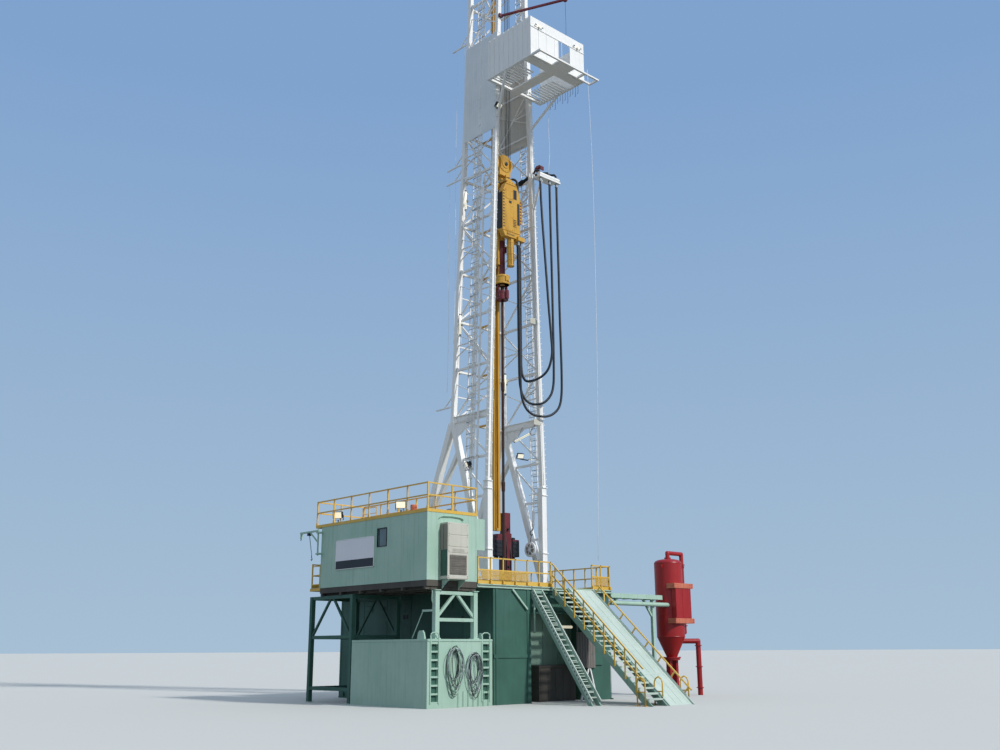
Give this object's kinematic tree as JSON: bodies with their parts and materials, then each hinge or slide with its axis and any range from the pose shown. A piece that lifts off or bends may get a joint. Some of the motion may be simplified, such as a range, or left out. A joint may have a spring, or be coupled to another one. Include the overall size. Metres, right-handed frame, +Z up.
{
  "type": "land drilling rig scale model",
  "caption": "Land drilling rig at half scale: open lattice mast, top drive, racking board, drill floor, doghouse, V-door ramp and gas separator",
  "frame": {"origin": "on the ground under the middle of the driller's side box", "axes": "+X toward the foot of the V-door ramp, -Y toward the doghouse, +Z up"},
  "size_m": [8.0679, 8.4708, 23.995],
  "materials": {
    "green_paint": "satin machinery paint",
    "dark_green_paint": "satin machinery paint in shade tone",
    "yellow_paint": "satin safety yellow paint",
    "white_paint": "satin white paint",
    "red_paint": "satin red paint",
    "deck_plate": "worn deck paint",
    "glass_pane": "dark window glass",
    "beige_paint": "matt housing paint",
    "grey_plate": "pale corrugated sheet",
    "lamp_grey": "grey lamp housing",
    "dark_red_paint": "dark red paint",
    "hose_rubber": "black hose cover",
    "steel_pipe": "used drill pipe steel",
    "wire_rope": "greased wire rope"
  },
  "bodies": {
    "rig": {"side_boxes": "dark_green_paint", "floor_beams": "dark_green_paint", "drill_floor": "deck_plate", "rotary_table": "deck_plate", "floor_rails_front": "yellow_paint", "floor_rails_back": "yellow_paint", "v_door_ramp": "green_paint", "stair_stringers": "green_paint", "stair_treads": "green_paint", "stair_rails": "yellow_paint", "doghouse_base": "dark_green_paint", "doghouse_end_walls": "green_paint", "doghouse_outer_wall": "green_paint", "doghouse_inner_wall": "green_paint", "doghouse_roof": "green_paint", "roof_rails": "yellow_paint", "window_panes": "glass_pane", "doghouse_doors": "dark_green_paint", "air_conditioner": "beige_paint", "notice_board": "grey_plate", "roof_lamps": "lamp_grey", "front_tower": "green_paint", "rear_tower": "dark_green_paint", "tool_box": "green_paint", "rear_landing": "yellow_paint", "mast_driller_side": "white_paint", "mast_far_side": "white_paint", "mast_back": "white_paint", "a_frame": "white_paint", "crown_frame": "white_paint", "crown_sheaves": "yellow_paint", "guide_rails": "yellow_paint", "mast_ladder": "white_paint", "cable_tray": "white_paint", "board_frame": "white_paint", "board_fingers": "white_paint", "board_walls": "white_paint", "mast_wind_walls": "grey_plate", "boom": "dark_red_paint", "mast_brackets": "white_paint", "service_hoses": "hose_rubber", "roughneck": "dark_red_paint", "separator_shell": "red_paint", "separator_ends": "red_paint", "separator_fittings": "red_paint", "flow_trough": "green_paint"},
    "hoist": {"travelling_block": "yellow_paint", "top_drive": "yellow_paint", "guide_shoes": "yellow_paint", "drilling_lines": "wire_rope", "drive_hose_short": "hose_rubber", "drive_hose_middle": "hose_rubber", "drive_hose_long": "hose_rubber"},
    "handler": {"pipe_handler": "yellow_paint", "drill_pipe": "steel_pipe"},
    "sheave": {"raising_sheave": "white_paint"},
    "gate": {"landing_gate": "yellow_paint"},
    "davit": {"davit_arm": "green_paint"}
  },
  "joints": [
    {"name": "hoist_travel", "type": "slide", "parent": "rig", "child": "hoist", "axis": [0, 0, 1], "range_m": [-2.15, 8.75], "deforming": ["drilling_lines", "drive_hose_short", "drive_hose_middle", "drive_hose_long"]},
    {"name": "handler_turn", "type": "hinge", "parent": "hoist", "child": "handler", "pos_m": [0.255, 2.04, 10.24], "axis": [0, 0, 1], "continuous": true},
    {"name": "sheave_turn", "type": "hinge", "parent": "rig", "child": "sheave", "pos_m": [0.4495, 2.74, 3.4], "axis": [0, 1, 0], "continuous": true},
    {"name": "gate_swing", "type": "hinge", "parent": "rig", "child": "gate", "pos_m": [-1.015, -2.26, 2.65], "axis": [0, 0, 1], "range_deg": [-85, 0]},
    {"name": "davit_swing", "type": "hinge", "parent": "rig", "child": "davit", "pos_m": [-1.03, -2.335, 3.595], "axis": [0, 0, 1], "range_deg": [-45, 100]}
  ]
}
